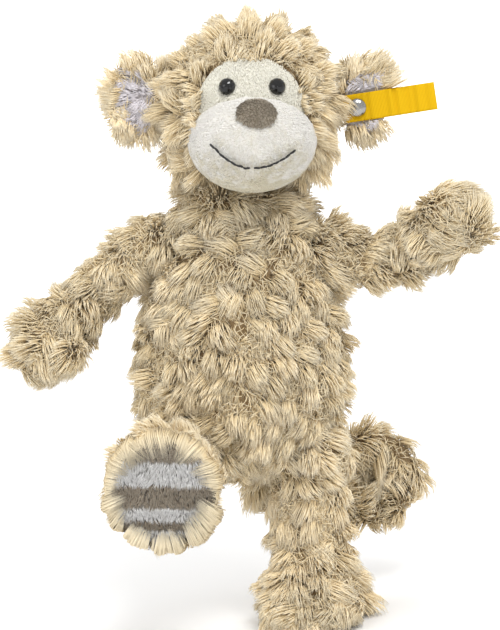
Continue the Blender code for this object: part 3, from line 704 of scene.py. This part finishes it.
def build_tail(random):
    nodes = ["tail_front_panel", "tail_back_panel", "tail_stuffing"]
    base = skin("tail_skin", "tail", nodes, "shaded_fur_backing", 0.0022, 0.0022, 4)
    curl = np.mean(OPENINGS["tail_curl"]["box_m"], axis=0)

    def closing(rails):
        """Draws the fur inside the curl together over its opening."""
        inward = curl - rails[:, 0]
        inward[:, 1] *= 0.2  # mostly within the curl's plane
        near = ramp01((CURL_REACH - np.linalg.norm(inward, axis=1)) / CURL_OVER)
        share = np.linspace(0.0, 1.0, rails.shape[1]) ** 1.5
        return rails + (inward * (near * CURL_CLOSE)[:, None])[:, None, :] * share[None, :, None]

    flow = away_flow(node_points(*nodes).mean(axis=0), (0, 0, -0.5), 0.3)
    grow("tail_fur", "tail", base, flow, "long_fur", "long_fur", random,
         height=0.0128, length=0.0112, unrest=0.5, tone_at=evenly(TAIL_TONE), shape=closing)


# ---- Head ----
PARTING_UNDER_EYES = 0.012  # the fur of the head flows away from a point this far under the eyes
HEAD_BACKWARDS, CHEEKS_HANG, CHEEKS_HANG_OVER = 0.45, 0.75, 0.020
FACE_LAP = 0.003  # the fur of the head laps this far over the face
MUZZLE_CONE = 0.80  # cosine of the cone that it leaves free for the muzzle
# Fur length on the head, and what is added low on the cheeks, under the chin and at the sides
HEAD_SCALE, LOW_LONGER, UNDER_LONGER, BESIDE_LONGER = 1.15, 0.30, 0.30, 0.25
FACE_HALF = (0.0236, 0.0124)  # half width, and height above the eyes
FACE_POWER = 3.2  # of the face's rounded outline
BROW_DIP, BROW_DIP_WIDTH = 0.0016, 0.25


def build_head(random):
    nodes = ["head_left_panel", "head_right_panel", "head_stuffing"]
    base = skin("head_skin", "head", nodes, "shaded_fur_backing", 0.0030)
    low, high = local_box(HEAD, "eye_left", "eye_right")
    middle = (low + high) / 2
    muzzle = unit_rows((node_points("muzzle_panel").mean(axis=0) - np.array(HEAD_MIDDLE))[None, :])[0]

    def flow(places, normals):
        """Away from the middle of the face and towards the back; hanging at the cheeks."""
        local = to_local(HEAD, places)
        local[:, 1] = 0.0
        out = unit_rows(local - np.array((middle[0], 0.0, middle[2] - PARTING_UNDER_EYES)))
        out[:, 1] = HEAD_BACKWARDS
        out[:, 2] -= CHEEKS_HANG * ramp01(-local[:, 2] / CHEEKS_HANG_OVER)
        return out @ np.array(HEAD.to_3x3()).T

    def covered(places, normals):
        """Not under the short-pile face, nor under the muzzle."""
        out = unit_rows(places - np.array(HEAD_MIDDLE))
        return ~inside_face(to_local(HEAD, places), -FACE_LAP) & (out @ muzzle < MUZZLE_CONE)

    def upright(places):
        """Fur stands up beside the face, and lies down further away."""
        local = to_local(HEAD, places)
        further = np.where(inside_face(local, 0.010), 0.75, 1.0)
        return np.where(inside_face(local, 0.005), 0.40, further)

    def cheeks(places):
        """Longer at the lower cheeks, under the chin and at the sides of the head."""
        local = to_local(HEAD, places)
        aside, height = np.abs(local[:, 0]), local[:, 2]
        low = ramp01(-height / 0.022) * ramp01(aside / 0.025)
        under = ramp01((-height - 0.012) / 0.016)
        beside = ramp01(aside / 0.030) * ramp01(1.0 - height / 0.03)
        return HEAD_SCALE + LOW_LONGER * low + UNDER_LONGER * under + BESIDE_LONGER * beside

    grow("head_fur", "head", base, flow, "long_fur", "long_fur", random, scale_at=cheeks,
         keep=covered, reach_at=upright, tone_at=evenly(HEAD_TONE), length=0.0090, unrest=0.42,
         per_mm2=2.2, radius=0.00023)
    build_face(flow, cheeks, random)


def inside_face(local, margin):
    """Whether places in the head's frame lie within the short-pile face: a soft square with a dip above."""
    x, y, z = local.T
    low, high = local_box(HEAD, "eye_left", "eye_right")
    middle = (low + high) / 2
    across = (x - middle[0]) / (FACE_HALF[0] + margin)
    dip = BROW_DIP * np.exp(-(across / BROW_DIP_WIDTH) ** 2)
    over = np.maximum((z - middle[2] + dip) / (FACE_HALF[1] + margin), 0.0)
    return (y < 0) & (np.abs(across) ** FACE_POWER + over ** FACE_POWER < 1.0)


def build_face(flow, cheeks, random):
    base = skin("face_skin", "head", ["face_panel"], "face_backing", 0.0004, 0.0016, 3)

    def outwards(places, normals):
        return (normals * unit_rows(places - np.array(HEAD_MIDDLE))).sum(axis=1) > 0.5

    def face(places, normals):
        return outwards(places, normals) & inside_face(to_local(HEAD, places), 0.0005)

    def around(places, normals):
        return outwards(places, normals) & ~inside_face(to_local(HEAD, places), 0.0)

    upwards = constant_flow(np.array(HEAD_UP) * 0.4 + np.array(HEAD_BACK) * 0.5)
    grow("face_pile", "head", base, upwards, "face_cloth", "face_pile", random, keep=face, **CLIPPED_PILE)
    grow("brow_fur", "head", base, flow, "long_fur", "long_fur", random, keep=around, height=0.0075,
         length=0.0040, scale_at=cheeks, whirl=0.2, unrest=0.35, spacing=0.0055, per_mm2=2.4)


MUZZLE_FROM = 0.040  # from the middle of the head; nearer cloth is inside the face
PARTING_HALF, DART_HALF = 0.004, 0.0006  # half widths of the parting and of the dart's shade
DART_FROM, DART_SHADE = 0.30, 0.25  # the dart starts this far up the muzzle, as a share of its height


def build_muzzle(random):
    nodes = ["muzzle_panel", "muzzle_stuffing"]
    base = skin("muzzle_skin", "head", nodes, "face_backing", 0.0006, 0.0018, 4)
    low, high = local_box(HEAD, "muzzle_panel")
    middle = (low[0] + high[0]) / 2

    def keep(places, normals):
        outwards = (normals * unit_rows(places - np.array(HEAD_MIDDLE))).sum(axis=1) > -0.2
        far = np.linalg.norm(places - np.array(HEAD_MIDDLE), axis=1) > MUZZLE_FROM
        return outwards & far

    def parting(places, normals):
        """Down and away from the dart under the nose."""
        across = to_local(HEAD, places)[:, 0] - middle
        aside = np.clip(across / PARTING_HALF, -1.0, 1.0)[:, None]
        return np.array(BODY_SIDE) * aside - np.array(HEAD_UP) * 0.8

    def painted_shade_and_dart(places):
        """Painted shade under the mouth, where the muzzle turns down away from the light from above, and a darker
        line along the dart.
        """
        local = to_local(HEAD, places)
        height = (local[:, 2] - low[2]) / (high[2] - low[2])
        dart = np.exp(-((local[:, 0] - middle) / DART_HALF) ** 2) * (height > DART_FROM)
        return ramp01(height * 1.5) * 0.8 - 0.5 - DART_SHADE * dart

    grow("muzzle_pile", "head", base, parting, "face_cloth", "muzzle_pile", random, keep=keep, tone_at=painted_shade_and_dart,
         **CLIPPED_PILE)


def build_nose(random):
    base = skin("nose_skin", "head", ["nose_patch"], "nose_backing", 0.0003, 0.0008, 2)
    grow("nose_pile", "head", base, constant_flow(np.array(HEAD_UP) * -1.0), "nose_cloth", "nose_pile", random,
         per_mm2=8.0, height=0.0008, length=0.0013, spacing=0.0030, tuft=0.0012, clump=0.3, unrest=0.5,
         radius=0.00013, steps=3, wave=0.0002, whirl=0.3, fan=0.0, dome=0.1, gaps=0.0, uneven=0.05,
         undercoat=0.0, sink=0.0001)


EAR_RIM_FROM, EAR_LINING_TO = 0.60, 0.78  # where fur and lining pile meet, from the middle 0 to the rim 1
EAR_FROM_HEAD = 0.003  # the rim's fur starts this far from the ear's root


def build_ears(random):
    for side in ("left", "right"):
        body = "ear_" + side
        root = np.array(JOINTS[f"ear_{side}_flex"]["pos_m"])
        out = np.array(BODY_SIDE) * (1 if side == "left" else -1)
        low, high = local_box(HEAD, "ear_shell_" + side)
        half = (high - low) / 2
        middle = (high + low) / 2
        centre = to_world(HEAD, middle[None, :])[0]
        back = np.array(HEAD_BACK)
        shell = skin(f"ear_shell_{side}_skin", body, ["ear_shell_" + side], "shaded_fur_backing",
                     0.0006, 0.0014, 3)
        lining = skin(f"ear_lining_{side}_skin", body, ["ear_lining_" + side], "ear_backing",
                      0.0004, 0.0014, 3)

        def rim(places):
            """0 at the ear's middle and 1 on its rim."""
            local = to_local(HEAD, places)
            return np.hypot((local[:, 0] - middle[0]) / half[0], (local[:, 2] - middle[2]) / half[2])

        fan = away_flow(centre - out * 0.008, (0, 0, 0))

        def behind(places, normals):
            return (normals @ out > -0.8) & ~under_flag(places)

        def on_rim(places, normals):
            far_from_head = (places - root) @ out > EAR_FROM_HEAD
            return (normals @ back < 0.6) & (rim(places) > EAR_RIM_FROM) & far_from_head & ~under_flag(places)

        def inside(places, normals):
            return (normals @ back < 0.2) & (rim(places) < EAR_LINING_TO) & ~under_flag(places)

        shape = behind_flag if side == "left" else None
        fur = dict(height=0.0062, length=0.0118, unrest=0.32, whirl=0.2, spacing=0.0070, dome=0.4, shape=shape)
        grow(f"ear_{side}_fur", body, shell, fan, "long_fur", "long_fur", random, keep=behind, **fur)
        grow(f"ear_{side}_rim_fur", body, lining, fan, "long_fur", "long_fur", random, keep=on_rim, per_mm2=3.2,
             tone_at=evenly(EAR_RIM_TONE), **fur)
        hanging = away_flow(root, (0, 0, -0.3))
        grow(f"ear_{side}_lining_pile", body, lining, hanging, "ear_cloth", "ear_pile", random, keep=inside,
             per_mm2=3.0, height=0.0040, length=0.0062, spacing=0.0060, tuft=0.0020, clump=0.2,
             unrest=0.4, radius=0.00022, steps=3, wave=0.0008, whirl=0.3, dome=0.4, gaps=0.0, shape=shape)


def flag_frame():
    """The ribbon's own axes: along it away from the head, out of its back, and across it."""
    points = to_local(HEAD, node_points("ear_flag"))
    flat = points[:, (0, 2)] - points[:, (0, 2)].mean(axis=0)
    x, z = np.linalg.svd(flat, full_matrices=False)[2][0]
    sign = 1.0 if x > 0 else -1.0
    along = HEAD.to_3x3() @ Vector((x * sign, 0.0, z * sign))
    return axes_matrix(along, HEAD_BACK, along.cross(HEAD_BACK), Vector(to_world(HEAD, points).mean(axis=0)))


def under_flag(places, margin=0.0006):
    """Whether places lie behind the ribbon, where pile would come through it."""
    frame_there = flag_frame()
    low, high = local_box(frame_there, "ear_flag")
    local = to_local(frame_there, places)
    return ((local > low - margin) & (local < high + margin))[:, (0, 2)].all(axis=1)


def behind_flag(rails):
    """Presses strands back behind the ribbon."""
    points = rails.reshape(-1, 3)
    local = to_local(HEAD, points)
    back = to_local(HEAD, node_points("ear_flag"))[:, 1].max() + 0.0007
    hidden = under_flag(points) & (local[:, 1] < back)
    local[hidden, 1] = back
    return to_world(HEAD, local).reshape(rails.shape)


# ---- Ribbon and thread ----
RIBBON_COLUMNS, RIBBON_ROWS = 45, 15
RIBBON_THICKNESS = 0.00028
RIBBON_HOLE = 0.0014  # radius


def build_ribbon():
    """A woven ribbon folded once at its free end, with a hole for the button's stem."""
    place = flag_frame()
    points = to_local(place, node_points("ear_flag"))
    low, high = points.min(axis=0), points.max(axis=0)
    columns = np.linspace(low[0], high[0], RIBBON_COLUMNS)
    fronts = [points[np.abs(points[:, 0] - x).argsort()[:4], 1].min() for x in columns]
    backs = [points[np.abs(points[:, 0] - x).argsort()[:4], 1].max() for x in columns]
    front = [(x, y + RIBBON_THICKNESS / 2) for x, y in zip(columns, fronts)]
    back = [(x, y - RIBBON_THICKNESS / 2) for x, y in zip(columns, backs)]
    path = front[:-1] + [(columns[-1] - 0.0001, (front[-1][1] * 2 + back[-1][1]) / 3),
                         (columns[-1] - 0.0001, (front[-1][1] + back[-1][1] * 2) / 3)] + back[-2::-1]
    rows = len(path)
    heights = np.linspace(low[2], high[2], RIBBON_ROWS)
    stem = place.inverted() @ Vector(JOINTS["flag_swivel"]["pos_m"])
    mesh = bpy.data.meshes.new("ear_ribbon")
    vertices = [(x, y, z) for x, y in path for z in heights]
    faces, values = [], []
    for i in range(rows - 1):
        for k in range(RIBBON_ROWS - 1):
            a = i * RIBBON_ROWS + k
            face = (a, a + 1, a + RIBBON_ROWS + 1, a + RIBBON_ROWS)
            centre = np.mean([vertices[v] for v in face], axis=0)
            if math.hypot(centre[0] - stem.x, centre[2] - stem.z) < RIBBON_HOLE:
                continue
            faces.append(face)
            u0, u1 = i / (rows - 1), (i + 1) / (rows - 1)
            v0, v1 = k / (RIBBON_ROWS - 1), (k + 1) / (RIBBON_ROWS - 1)
            values += [(u0, v0), (u0, v1), (u1, v1), (u1, v0)]
    mesh.from_pydata([tuple(place @ Vector(v)) for v in vertices], [], faces)
    layer = mesh.uv_layers.new(name="OFBake")
    layer.data.foreach_set("uv", np.array(values).reshape(-1))
    made = link(mesh, "ear_ribbon")
    solid = made.modifiers.new("solid", "SOLIDIFY")
    solid.thickness = RIBBON_THICKNESS
    solid.offset = 0.0
    evaluated(made)
    made.data.shade_smooth()
    made.data.materials.clear()
    made.data.materials.append(ribbon_material())
    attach(made, "flag")
    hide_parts("ear_flag")


MOUTH_SAMPLES = 14
STITCH_LENGTH, STITCH_RADIUS, STITCH_RISE = 0.0032, 0.00050, 0.00030


def build_mouth(random):
    """The smile as a row of short stitches of thick thread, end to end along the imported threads."""
    for side in ("left", "right"):
        node = "mouth_stitch_" + side
        points = to_local(HEAD, node_points(node))
        points = points[points[:, 0].argsort()]
        line = np.array([chunk.mean(axis=0) for chunk in np.array_split(points, MOUTH_SAMPLES)])
        reach = np.concatenate([[0.0], np.cumsum(np.linalg.norm(np.diff(line, axis=0), axis=1))])
        count = round(reach[-1] / STITCH_LENGTH)
        rails = []
        for index in range(count):
            ends = np.clip((np.linspace(-0.06, 1.06, 6) + index) / count, 0.0, 1.0) * reach[-1]
            rail = np.stack([np.interp(ends, reach, line[:, axis]) for axis in range(3)], axis=1)
            rail[:, 1] -= STITCH_RISE * np.sin(np.linspace(0.0, math.pi, 6))
            rail[:, 2] += random.normal(0.0, 0.00008) + np.linspace(-1.0, 1.0, 6) * random.normal(0.0, 0.00010)
            rails.append(to_world(HEAD, rail))
        widths = np.repeat([STITCH_RADIUS * np.array((0.75, 1.0, 1.1, 1.1, 1.0, 0.75))], count, axis=0)
        mesh = strand_mesh("mouth_thread_" + side, np.array(rails), widths, np.full(count, 0.5), random, 8)
        made = link(mesh, "mouth_thread_" + side)
        mesh.materials.append(MATERIALS["black_thread"])
        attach(made, "head")
        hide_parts(node)


# ---- Small CAD pieces that stay ----
def finish_cad_nodes():
    for side in ("left", "right"):
        set_material("eye_" + side, "eye_plastic")
        set_material("eye_washer_" + side, "washer_plastic")
    set_material("ear_button", "nickel")
    set_material("ear_button_washer", "nickel")


def set_material(node, name):
    made = frame["nodes"][node]
    made.data.materials.clear()
    made.data.materials.append(MATERIALS[name])


def ribbon_material():
    made, nodes, links, shader = new_material("yellow_ribbon")
    place = nodes.new("ShaderNodeUVMap")
    place.uv_map = "OFBake"
    weave = nodes.new("ShaderNodeTexWave")
    weave.inputs["Scale"].default_value = 40.0
    weave.inputs["Distortion"].default_value = 0.2
    links.new(place.outputs["UV"], weave.inputs["Vector"])
    relief = nodes.new("ShaderNodeBump")
    relief.inputs["Strength"].default_value = 0.4
    relief.inputs["Distance"].default_value = 0.0002
    links.new(weave.outputs["Fac"], relief.inputs["Height"])
    links.new(relief.outputs["Normal"], shader.inputs["Normal"])
    ramp = ramp_node(nodes, ((0.0, (0.61, 0.36, 0.001)), (1.0, (0.70, 0.42, 0.001))))
    links.new(weave.outputs["Fac"], ramp.inputs["Fac"])
    links.new(ramp.outputs["Color"], shader.inputs["Base Color"])
    shader.inputs["Roughness"].default_value = 0.8
    shader.inputs["Specular IOR Level"].default_value = 0.2
    return made


# ---- Studio ----
BOWL_FLAT, BOWL_RISE = 4.0, 3.0  # the floor's flat radius, and the radius of the curve round it
LAMPS = (("key", (0.7, -1.9, 2.5), 1.0, 52.0), ("fill", (-2.2, -1.8, 1.2), 1.6, 16.0),
         ("backdrop", (0.0, 3.4, 3.2), 3.0, 200.0))  # name, place, size, watts
LAMP_AIMS = {"backdrop": (0.0, 5.5, 0.0)}  # the others point at the toy
SKY_STRENGTH = 0.88


def build_studio():
    """A wide pale floor that curves up all round, under a white sky and three large lamps."""
    profile = [(0.0, 0.0)] + [(BOWL_FLAT + BOWL_RISE * math.sin(t), BOWL_RISE * (1 - math.cos(t)))
                              for t in np.linspace(0.0, math.radians(50.0), 9)]
    bm = bmesh.new()
    edges = []
    points = [bm.verts.new((r, 0.0, z)) for r, z in profile]
    for a, b in zip(points, points[1:]):
        edges.append(bm.edges.new((a, b)))
    bmesh.ops.spin(bm, geom=points + edges, cent=(0, 0, 0), axis=(0, 0, 1), angle=math.tau, steps=48)
    bmesh.ops.remove_doubles(bm, verts=bm.verts, dist=1e-4)
    bmesh.ops.recalc_face_normals(bm, faces=bm.faces)
    mesh = bpy.data.meshes.new("floor")
    bm.to_mesh(mesh)
    bm.free()
    mesh.shade_smooth()
    floor = link(mesh, "floor")
    floor.data.materials.append(noise_material("floor_paint", (0.90, 0.90, 0.90), (0.93, 0.93, 0.93), 3, 0.9))
    floor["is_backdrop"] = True
    floor.location.z = min(0.0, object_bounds()[0][2])
    world = bpy.data.worlds.new("studio")
    bpy.context.scene.world = world
    world.use_nodes = True
    background = world.node_tree.nodes["Background"]
    background.inputs["Color"].default_value = (1.0, 1.0, 1.0, 1.0)
    background.inputs["Strength"].default_value = SKY_STRENGTH
    for name, place, size, power in LAMPS:
        lamp = bpy.data.lights.new(name, "AREA")
        lamp.size = size
        lamp.energy = power
        made = bpy.data.objects.new(name, lamp)
        bpy.context.scene.collection.objects.link(made)
        made.location = place
        aim = Vector(LAMP_AIMS.get(name, (-0.01, 0.0, 0.15))) - Vector(place)
        made.rotation_euler = aim.to_track_quat("-Z", "Y").to_euler()
    bpy.context.scene.view_settings.view_transform = "Standard"


def build_camera():
    """In front of the toy and a little above it, rolled with the leaning body, which then looks upright."""
    distance, view_height, elevation = 1.25, 0.305, math.radians(8.0)
    aim = BODY @ Vector((-0.0335, 0.005, 0.1525)) + Vector((0.0025, 0, 0))
    back = BODY.to_3x3() @ Vector((0, -math.cos(elevation), math.sin(elevation)))
    up = BODY.to_3x3() @ Vector((0, math.sin(elevation), math.cos(elevation)))
    data = bpy.data.cameras.new("camera")
    data.sensor_width = 36.0
    data.lens = data.sensor_width * distance / view_height
    camera = bpy.data.objects.new("camera", data)
    bpy.context.scene.collection.objects.link(camera)
    camera.matrix_world = axes_matrix(up.cross(back), up, back, aim + back * distance)
    bpy.context.scene.camera = camera


build_camera()
random = np.random.default_rng(SEED)
build_torso(random)
build_arms(random)
build_legs(random)
build_tail(random)
build_head(random)
build_muzzle(random)
build_nose(random)
build_ears(random)
build_ribbon()
build_mouth(random)
finish_cad_nodes()
build_studio()
